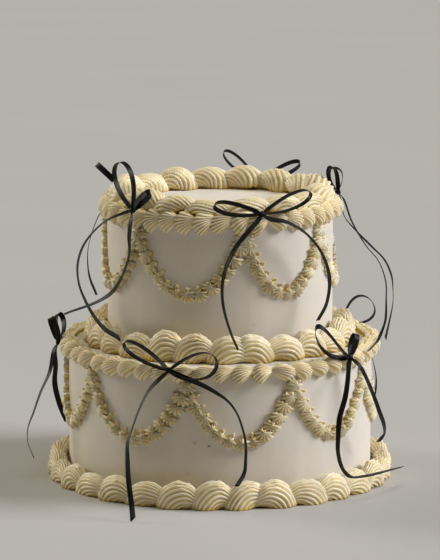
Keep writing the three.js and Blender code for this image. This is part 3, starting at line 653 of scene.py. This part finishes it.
def add_borders(material):
    """The five rings. A shell is longer than its pitch, so it lies over the tail before it. An
    input that a ring doesn't give is 0, apart from Lowest Share."""
    tree = ring_tree()
    # Name, shape, shells, radius of the line that gives their pitch, length in pitches, breadth
    # and height, in millimetres, what else the shape takes, and the ring's own inputs
    for name, shape, shells, line, overlap, across, height, detail, ring in (
        ("base_border", piped_shell, 31, 114, 1.5, 15.8, 17.8,
         {"flutes": 20, "groove": 0.2, "twist": 0.1},
         {"Ring Radius": LOWER_RADIUS + 7.2 * MM, "Lowest": 0.1 * MM, "Meeting Angle": 8 * DEG,
          "Left Run End": 15.0, "Lean": 6 * DEG, "Side Lean": 6 * DEG, "Size Spread": 0.05,
          "Turn Spread": 5 * DEG, "Dents": 2.2 * MM, "Ragged": 3.0 * MM,
          "Ragged From": 12 * MM, "Seed": 3}),
        ("upper_foot_border", piped_shell, 25, 88, 1.5, 17.2, 18.8,
         {"flutes": 20, "groove": 0.21, "twist": 0.15},
         {"Ring Radius": UPPER_RADIUS + 8 * MM, "Seat Height": UPPER_FOOT, "Lowest": UPPER_FOOT,
          "Meeting Angle": 2 * DEG, "Left Run End": 12.0, "Lean": 4 * DEG, "Side Lean": 4 * DEG,
          "Size Spread": 0.06, "Turn Spread": 6 * DEG, "Dents": 2.6 * MM, "Ragged": 3.4 * MM,
          "Ragged From": UPPER_FOOT + 12 * MM, "Seed": 8}),
        ("top_border", piped_shell, 17, 69, 1.45, 22, 15.6,
         {"flutes": 13, "groove": 0.22, "twist": 3.2, "rows": 34, "per_flute": 6},
         {"Ring Radius": 69 * MM, "Seat Height": UPPER_TOP + GAP, "Lowest": UPPER_TOP + GAP,
          "Meeting Angle": 36 * DEG, "Left Run End": 16.0, "Droop": 8 * DEG,
          "Size Spread": 0.06, "Turn Spread": 7 * DEG, "Lowest Share": 0.7,
          "Lowest Angle": 20 * DEG, "Dents": 3.0 * MM, "Seed": 5}),
        ("lower_rim_border", scallop, 50, 107, 1.42, 14, 7,
         {"ridges": 8, "groove": 0.24, "twist": 0.4},
         {"Ring Radius": LOWER_RADIUS - 0.6 * MM, "Seat Height": LOWER_TOP - 4.2 * MM,
          "Meeting Angle": 12 * DEG, "Left Run End": 25.0, "Lean": 62 * DEG,
          "Side Lean": 50 * DEG, "Side Rise": 3.5 * MM, "Droop": 14 * DEG,
          "Size Spread": 0.08, "Turn Spread": 9 * DEG, "Dents": 1.8 * MM, "Seed": 11}),
        ("upper_rim_border", scallop, 40, 80, 1.42, 17, 6.8,
         {"ridges": 8, "groove": 0.24, "twist": 0.4},
         {"Ring Radius": UPPER_RADIUS - 0.8 * MM, "Seat Height": UPPER_TOP - 4.6 * MM,
          "Meeting Angle": 15 * DEG, "Left Run End": 20.0, "Lean": 70 * DEG,
          "Side Lean": 62 * DEG, "Side Rise": 2.5 * MM, "Droop": 18 * DEG,
          "Size Spread": 0.08, "Turn Spread": 9 * DEG, "Dents": 1.8 * MM, "Seed": 17}),
    ):
        pitch = tau * line / shells * MM
        forms = shell_forms(name + "_shell", shape, pitch * overlap, across * MM, height * MM, **detail)
        host = add_object(name + "_host", bpy.data.meshes.new(name + "_host"))
        made = grown(name + "_piped", host, tree, {
            "Shell Forms": forms, "Finish": material, "Shells": shells, "Lowest Share": 1.0,
            **ring,
        })
        for form in list(forms.objects):
            bpy.data.objects.remove(form)
        bpy.data.collections.remove(forms)
        dress(made, "piped_buttercream", name)


# Garlands

UPPER_PEAKS = (-95, -43.5, 12.2, 58.4, 111, 163, 214)  # degrees
LOWER_PEAKS = (-94, -54.1, -11.7, 27.7, 66, 106, 146, 186, 226)


def fan_tuft(name, radius, relief, ridges, spread):
    """A small half-round fan against the wall: ridges run from its hub out to one side, Y, and
    Z stands off the wall. The other side is short."""
    ridged = 2 * ridges + 1
    short_columns, short_reach = 5, 0.42
    notch, furrow = 0.24, 0.4  # how deep a groove cuts into the edge and into the relief
    angles = list(np.linspace(-spread, spread, ridged))
    angles += list(np.linspace(spread, tau - spread, short_columns + 2)[1:-1])
    # How far out and how far off the wall, from the hub to the foot
    rows = ((0.3, 0.97), (0.58, 0.86), (0.82, 0.6), (0.97, 0.22), (0.9, UNDER))
    # The notched columns and the underside take painted shade, the groove colour.
    corners, grooves = [], []
    for out, up in rows:
        for column, angle in enumerate(angles):
            low = column % 2
            reach = radius * out * (1 if column < ridged else short_reach) * (1 - notch * low)
            rise = relief * up * (1 if up < 0 else 1 - furrow * low)
            corners.append((reach * sin(angle), reach * cos(angle), rise))
            grooves.append(low)
    corners += [(0, 0, relief), (0, 0, UNDER * relief)]
    grooves += [0.3, 1]
    return mesh_object(name, corners, closed_faces(len(rows), len(angles)), groove=grooves)


def pointed_tuft(name, radius, relief, ridges):
    """Where the nozzle turns back it leaves a small ridged point that leans towards Y."""
    columns = 2 * ridges
    narrow, notch, tip_lean = 0.8, 0.38, 1.15
    # How wide, how far off the wall, and how far over, from the foot up
    rows = ((1.0, UNDER, 0.0), (0.95, 0.2, 0.1), (0.7, 0.55, 0.45), (0.35, 0.85, 0.8))
    # The notched columns and the foot take painted shade, the groove colour.
    corners, grooves = [], []
    for wide, up, lean in rows:
        for column in range(columns):
            angle = tau * column / columns
            low = column % 2
            reach = radius * wide * (1 - notch * low)
            corners.append((reach * sin(angle) * narrow, reach * cos(angle) + radius * lean, relief * up))
            grooves.append(low)
    corners += [(0, 0, UNDER * relief), (0, radius * tip_lean, relief)]
    grooves += [1, 0]
    return mesh_object(name, corners, closed_faces(len(rows), columns), groove=grooves)


def garland_tree():
    """Geometry Nodes that pipe a garland along hanging lines: at even steps a fan points down
    and back, and a small point leans over the other side of the line."""
    tree, add, given = new_tree("piped garland", {
        "Geometry": ["Geometry"], "Object": ["Fan", "Point"], "Material": ["Finish"],
        "Int": ["Tufts per Swag", "Seed"], "Float": ["Point Offset", "Size Spread", "Turn Spread"],
    })
    walked = add("GeometryNodeCurveToPoints",
        {"Curve": given["Geometry"], "Count": given["Tufts per Swag"]}, mode="COUNT")
    tangent = walked.outputs["Tangent"]
    position = add("GeometryNodeInputPosition")
    level = []
    for way in (position, tangent):
        flat = add("ShaderNodeVectorMath", way, (1, 1, 0), operation="MULTIPLY")
        level.append(add("ShaderNodeVectorMath", flat, operation="NORMALIZE"))
    outward, forward = level
    facing = add("FunctionNodeAlignRotationToVector", {"Vector": outward}, axis="Z")
    # The fan points straight down at the bottom of a swag. It leans back on the way down to it,
    # and less on the way up: by the slope times these.
    on_way_down, on_way_up = 1.29, 0.35
    slope = add("ShaderNodeSeparateXYZ", tangent).outputs["Z"]
    steep = add("ShaderNodeMath", slope, operation="ABSOLUTE")
    both_ways = add("ShaderNodeMath", steep, -(on_way_down + on_way_up) / 2, operation="MULTIPLY")
    back = add("ShaderNodeMath", slope, (on_way_down - on_way_up) / 2, both_ways, operation="MULTIPLY_ADD")
    backward = add("ShaderNodeVectorMath", forward, {"Scale": back}, operation="SCALE")
    fan_way = add("ShaderNodeVectorMath", backward, (0, 0, -1), operation="ADD")
    over_way = add("ShaderNodeVectorMath", outward, tangent, operation="CROSS_PRODUCT")
    turned, size = own_turn_and_size(add, given)
    own_turn = add("FunctionNodeEulerToRotation", turned)
    offset = add("ShaderNodeVectorMath", over_way, {"Scale": given["Point Offset"]}, operation="SCALE")
    shifted = add("GeometryNodeSetPosition", walked.outputs["Points"], {"Offset": offset})
    piped = []
    for points, shape, way in (
        (walked.outputs["Points"], given["Fan"], fan_way),
        (shifted, given["Point"], over_way),
    ):
        aimed = add("FunctionNodeAlignRotationToVector", {"Rotation": facing, "Vector": way},
            axis="Y", pivot_axis="Z")
        rotation = add("FunctionNodeRotateRotation", {"Rotation": aimed, "Rotate By": own_turn},
            rotation_space="LOCAL")
        form = add("GeometryNodeObjectInfo", {"Object": shape, "As Instance": True})
        piped.append(add("GeometryNodeInstanceOnPoints", {
            "Points": points, "Instance": form.outputs["Geometry"], "Rotation": rotation,
            "Scale": size,
        }))
    both = add("GeometryNodeJoinGeometry", {"Geometry": piped[0]})
    tree.links.new(piped[1].outputs[0], both.inputs[0])
    real = add("GeometryNodeRealizeInstances", both)
    finish_tree(add, real, given["Finish"])
    return tree


def swag_curves(name, peaks, wall, peak, low):
    """One poly line for each swag, hanging on the wall between two peaks."""
    curve = bpy.data.curves.new(name, "CURVE")
    curve.dimensions = "3D"
    steps = 41
    for start, end in zip(peaks, (*peaks[1:], peaks[0] + 360)):
        spline = curve.splines.new("POLY")
        spline.points.add(steps - 1)
        for i in range(steps):
            across = 2 * i / (steps - 1) - 1
            angle = radians((start + end) / 2 + across * (end - start) / 2)
            height = low + (peak - low) * abs(across) ** 2.2
            spline.points[i].co = (wall * sin(angle), -wall * cos(angle), height, 1)
    return add_object(name, curve)


def add_garlands(material):
    tree = garland_tree()
    for name, peaks, wall, top, peak_drop, low_drop, seed in (
        ("upper_garland", UPPER_PEAKS, UPPER_RADIUS, UPPER_TOP, 14, 53, 21),
        ("lower_garland", LOWER_PEAKS, LOWER_RADIUS, LOWER_TOP, 12.5, 50, 34),
    ):
        host = swag_curves(name + "_line", peaks, wall, top - peak_drop * MM, top - low_drop * MM)
        fan = fan_tuft(name + "_fan", 7.2 * MM, 4.4 * MM, 6, 92 * DEG)
        point = pointed_tuft(name + "_point", 2.5 * MM, 3.6 * MM, 5)
        made = grown(name + "_piped", host, tree, {
            "Fan": fan, "Point": point, "Finish": material, "Tufts per Swag": 15,
            "Point Offset": 2.2 * MM, "Size Spread": 0.12, "Turn Spread": 15 * DEG,
            "Seed": seed,
        })
        bpy.data.objects.remove(fan)
        bpy.data.objects.remove(point)
        dress(made, "piped_buttercream", name)


# Ribbons


def run_along(places):
    """How far along the places each one lies."""
    return np.append(0, np.cumsum(np.linalg.norm(np.diff(places, axis=0), axis=1)))


def strip(places, sides, widths, slant=0.0):
    """A closed ribbon along its places: each section lies along its side direction, bows a
    little across its width, and is thicker at its two selvedges. The end may be cut at a slant.
    Gives corners, faces and UVs in millimetres."""
    columns = 8
    cup = 0.2 * MM
    selvedge_from = 0.7  # of the half width
    edge_thin = 0.35  # share of the thickness that is left at the very edge
    places = np.array(places)
    sides = np.array(sides)
    tangents = np.gradient(places, axis=0)
    tangents /= np.linalg.norm(tangents, axis=1)[:, None]
    sides = sides - tangents * np.sum(sides * tangents, axis=1)[:, None]
    sides /= np.linalg.norm(sides, axis=1)[:, None]
    faces_out = np.cross(tangents, sides)
    run = run_along(places)
    across = np.linspace(-1, 1, columns + 1)
    corners, uv = [], []
    for row, (place, side, out, width) in enumerate(zip(places, sides, faces_out, widths)):
        cut = tangents[row] * slant / 2 if row == len(places) - 1 else np.zeros(3)
        lift = cup * RIBBON_WIDTH / width
        for face, order in ((1, across), (-1, across[::-1])):
            for w in order:
                thick = SELVEDGE_THICK if abs(w) > selvedge_from else RIBBON_THICK
                edge = edge_thin if abs(w) == 1 else 1
                rise = lift * (1 - w * w) + face * edge * thick / 2
                corners.append(place + side * w * width / 2 + cut * w + out * rise)
                uv.append(((w + 1) / 2 * RIBBON_WIDTH / MM, run[row] / MM))
    ring = 2 * (columns + 1)
    end = (len(places) - 1) * ring
    faces = ring_faces(len(places), ring)
    faces.append(tuple(range(ring)))
    faces.append(tuple(end + i for i in reversed(range(ring))))
    return corners, faces, uv


def merged(parts):
    corners, faces, uv = [], [], []
    for part_corners, part_faces, part_uv in parts:
        first = len(corners)
        corners += list(part_corners)
        faces += [tuple(v + first for v in face) for face in part_faces]
        uv += list(part_uv)
    return corners, faces, uv


def gathered(distance):
    """The ribbon's width at a distance from the knot that gathers it."""
    open_share = min(1, distance / GATHER_LENGTH)
    smooth = open_share * open_share * (3 - 2 * open_share)
    return RIBBON_WIDTH * (GATHERED + (1 - GATHERED) * smooth)


def facing_at(place, way, turn):
    """Straight outwards at a place, square to the ribbon's way and turned about it."""
    out = Vector((place.x, place.y, 0)).normalized()
    out = (out - way * out.dot(way)).normalized()
    out.rotate(Quaternion(way, radians(turn)))
    return out


def ribbon_loop(knot, tip, opening, roll, sag=0):
    """Out to the tip and back along a teardrop: sin² of the turn to the tip, and a width that is
    nought at the knot and at the tip."""
    reach = Vector(tip) * MM - knot
    along = reach.normalized()
    out = facing_at(knot, along, roll)
    across = out.cross(along)
    widest = 0.77  # largest value of the teardrop's own width formula
    in_knot = 0.03  # share of the way that is hidden in the knot at each end
    steps = 56
    places, widths = [], []
    for i in range(steps):
        turn = pi * (in_knot + (1 - 2 * in_knot) * i / (steps - 1))
        wide = sin(2 * turn) * sin(turn) / widest
        gone = sin(turn) ** 2
        place = knot + reach * gone + across * (opening / 2 * MM * wide)
        place.z -= sag * MM * 4 * gone * (1 - gone)
        places.append(place)
        widths.append(gathered((place - knot).length))
    return strip(places, [out] * steps, widths)


def knot_lump(knot):
    """The ribbon wrapped once round the middle of the bow: a small pinched barrel with folds."""
    rows, sides = 13, 20
    across, deep, tall = 4.0 * MM, 4.0 * MM, 4.2 * MM
    turn = Matrix.Rotation(atan2(knot.x, -knot.y), 3, "Z")
    corners, uv = [], []
    for row in range(rows):
        tilt = pi * (row + 0.5) / rows
        for side in range(sides):
            angle = tau * side / sides
            fold = 1 + 0.1 * cos(10 * tilt) + 0.08 * cos(3 * angle + 1)
            swell = sin(tilt) ** 0.7 * fold
            local = Vector((-cos(tilt) * across / 2, swell * cos(angle) * deep / 2,
                            swell * sin(angle) * tall / 2))
            corners.append(knot + turn @ local)
            uv.append((row / rows * RIBBON_WIDTH / MM, angle * tall / 2 / MM))
    for end in (-1, 1):
        corners.append(knot + turn @ Vector((end * across / 2, 0, 0)))
        uv.append((0, 0))
    return corners, closed_faces(rows, sides), uv


def passed(start, end, from_time, to_time, time):
    """The place at a time, on the straight way from start to end."""
    share = (time - from_time) / (to_time - from_time)
    return start * (1 - share) + end * share


def catmull_rom(points, turns, per_span=24):
    """Places, each with its turn, along the centripetal Catmull-Rom curve through the points, as
    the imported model's tails follow it."""
    before = points[0] * 2 - points[1]
    after = points[-1] * 2 - points[-2]
    held = [before, *points, after]
    path = []
    for span, (p0, p1, p2, p3) in enumerate(zip(held, held[1:], held[2:], held[3:])):
        t0 = 0
        t1 = t0 + (p1 - p0).length ** 0.5
        t2 = t1 + (p2 - p1).length ** 0.5
        t3 = t2 + (p3 - p2).length ** 0.5
        for i in range(per_span):
            share = i / per_span
            t = t1 + (t2 - t1) * share
            a1 = passed(p0, p1, t0, t1, t)
            a2 = passed(p1, p2, t1, t2, t)
            a3 = passed(p2, p3, t2, t3, t)
            place = passed(passed(a1, a2, t0, t2, t), passed(a2, a3, t1, t3, t), t1, t2, t)
            path.append((*place, turns[span] + (turns[span + 1] - turns[span]) * share))
    path.append((*points[-1], turns[-1]))
    return np.array(path)


def even_steps(path, step):
    """The path's rows, of a place and a turn, walked in even steps of its length."""
    run = run_along(path[:, :3])
    wanted = np.linspace(0, run[-1], max(8, round(run[-1] / step)) + 1)
    return np.stack([np.interp(wanted, run, column) for column in path.T], 1)


def ribbon_tail(knot, stops):
    points = [knot] + [Vector(stop[:3]) * MM for stop in stops]
    turns = [stops[0][3]] + [stop[3] for stop in stops]
    walked = even_steps(catmull_rom(points, turns), TAIL_STEP)
    places = [Vector(row[:3]) for row in walked]
    sides, widths = [], []
    for i, place in enumerate(places):
        tangent = (places[min(i + 1, len(places) - 1)] - places[max(i - 1, 0)]).normalized()
        sides.append(tangent.cross(facing_at(place, tangent, walked[i][3])))
        widths.append(gathered((place - knot).length))
    return strip(places, sides, widths, slant=TAIL_SLANT)


def add_bows(material):
    for name, bow in BOWS.items():
        knot = Vector(bow["knot"]) * MM
        parts = [knot_lump(knot)]
        parts += [ribbon_loop(knot, *loop) for loop in bow["loops"]]
        parts += [ribbon_tail(knot, stops) for stops in bow["tails"]]
        corners, faces, uv = merged(parts)
        made = mesh_object(name + "_satin", corners, faces, uv=uv)
        made.data.materials.append(material)
        dress(made, "satin_ribbon", name)


# Tiers

# Marks on the icing, in millimetres: centre, radius, strength and tint
LOWER_MARKS = (
    ((-16.7, -104.7, 43.0), 2.6, 0.35, "#8f8468"),
    ((-7.3, -105.7, 41.1), 1.5, 0.75, "#4f4637"),
    ((-21.4, -103.8, 21.5), 2.2, 0.2, "#9a8c6a"),
)
UPPER_MARKS = (
    ((22.9, -75.1, 117.8), 2.2, 0.2, "#a39678"),
    ((13.4, -77.3, 190.5), 4.5, 0.6, "#b9813a"),
)


def smooth_tier(name, node, radius, foot, top, seed, material):
    """A tier spread smooth by hand: its wall and top wander by a few tenths of a millimetre."""
    sides = 288
    edge = 2.2 * MM
    wander = 0.35 * MM
    wall_rows, top_rows, edge_rows = 36, 16, 5
    profile = [(radius, foot + (top - edge - foot) * i / wall_rows) for i in range(wall_rows + 1)]
    for i in range(1, edge_rows + 1):
        turn = pi / 2 * i / edge_rows
        profile.append((radius - edge * (1 - cos(turn)), top - edge * (1 - sin(turn))))
    rim = radius - edge
    profile += [(rim * (1 - i / top_rows), top) for i in range(1, top_rows)]
    corners = []
    for reach, height in profile:
        for side in range(sides):
            angle = tau * side / sides
            away = Vector((sin(angle), -cos(angle), 0))
            spot = away * reach + Vector((0, 0, height))
            swell = noise.noise(Vector((spot.x, spot.y, spot.z * 0.45)) / (26 * MM) + Vector((seed, 0, 0)))
            ripple = noise.noise(Vector((spot.x, spot.y, spot.z * 0.08)) / (7 * MM) + Vector((0, seed, 0)))
            out = min(wander * (swell + 0.25 * ripple), GAP * 0.8)
            spot += away * out if reach >= rim else Vector((0, 0, out))
            if height <= foot:
                spot.z = foot
            corners.append(spot)
    corners += [Vector((0, 0, foot)), Vector((0, 0, top))]
    made = mesh_object(name, corners, closed_faces(len(profile), sides))
    made.data.materials.append(material)
    dress(made, "buttercream", node)


# Room: a plain pale floor and soft light


def add_floor():
    half = 12
    corners = [(-half, -half, 0), (half, -half, 0), (half, half, 0), (-half, half, 0)]
    mesh = bpy.data.meshes.new("floor")
    mesh.from_pydata(corners, [], [(0, 1, 2, 3)])
    floor = add_object("floor", mesh)
    material, add = new_material("floor_paint")
    place = add("ShaderNodeTexCoord").outputs["Object"]
    cloud = add("ShaderNodeTexNoise", place, {"Scale": 3.0})
    colour = add("ShaderNodeMix", cloud, {"A": linear("#b3b1ad"), "B": linear("#b9b7b3")},
        data_type="RGBA")
    paint = add("ShaderNodeBsdfPrincipled", {"Base Color": colour, "Roughness": 0.7})
    add("ShaderNodeOutputMaterial", paint)
    mesh.materials.append(material)


def add_sun(name, azimuth, elevation, softness, power, colour):
    """A far, soft light, so that the whole floor is as light as the floor by the cake. Angles in
    degrees; the azimuth goes round from the front towards +X."""
    lamp = bpy.data.lights.new(name, "SUN")
    lamp.angle = radians(softness)
    lamp.energy = power
    lamp.color = colour
    holder = add_object(name, lamp)
    side, up = radians(azimuth), radians(elevation)
    source = Vector((cos(up) * sin(side), -cos(up) * cos(side), sin(up)))
    holder.rotation_euler = source.to_track_quat("Z", "Y").to_euler()


def add_lights():
    add_sun("right_window", 86, 32, 28, 3.0, (0.975, 0.985, 1.06))
    add_sun("left_window", -116, 24, 26, 1.5, (1.0, 0.965, 0.86))
    add_sun("ceiling", 15, 80, 36, 0.85, (1.0, 0.985, 0.93))
    world = bpy.data.worlds.new("studio")
    SCENE.world = world
    world.use_nodes = True
    world.node_tree.nodes.clear()
    sky = add_node(world.node_tree, "ShaderNodeBackground", linear("#ecd6a4"), 0.08)
    add_node(world.node_tree, "ShaderNodeOutputWorld", sky)
    SCENE.view_settings.view_transform = "Standard"


add_camera()
add_floor()
add_lights()
cream = piped_buttercream()
satin = satin_ribbon()
smooth_tier(
    "lower_tier_icing", "lower_tier", LOWER_RADIUS, 0.0, LOWER_TOP, 2.0,
    smoothed_buttercream("lower_tier_buttercream", LOWER_MARKS))
smooth_tier(
    "upper_tier_icing", "upper_tier", UPPER_RADIUS, UPPER_FOOT, UPPER_TOP, 7.0,
    smoothed_buttercream("upper_tier_buttercream", UPPER_MARKS))
add_borders(cream)
add_garlands(cream)
add_bows(satin)
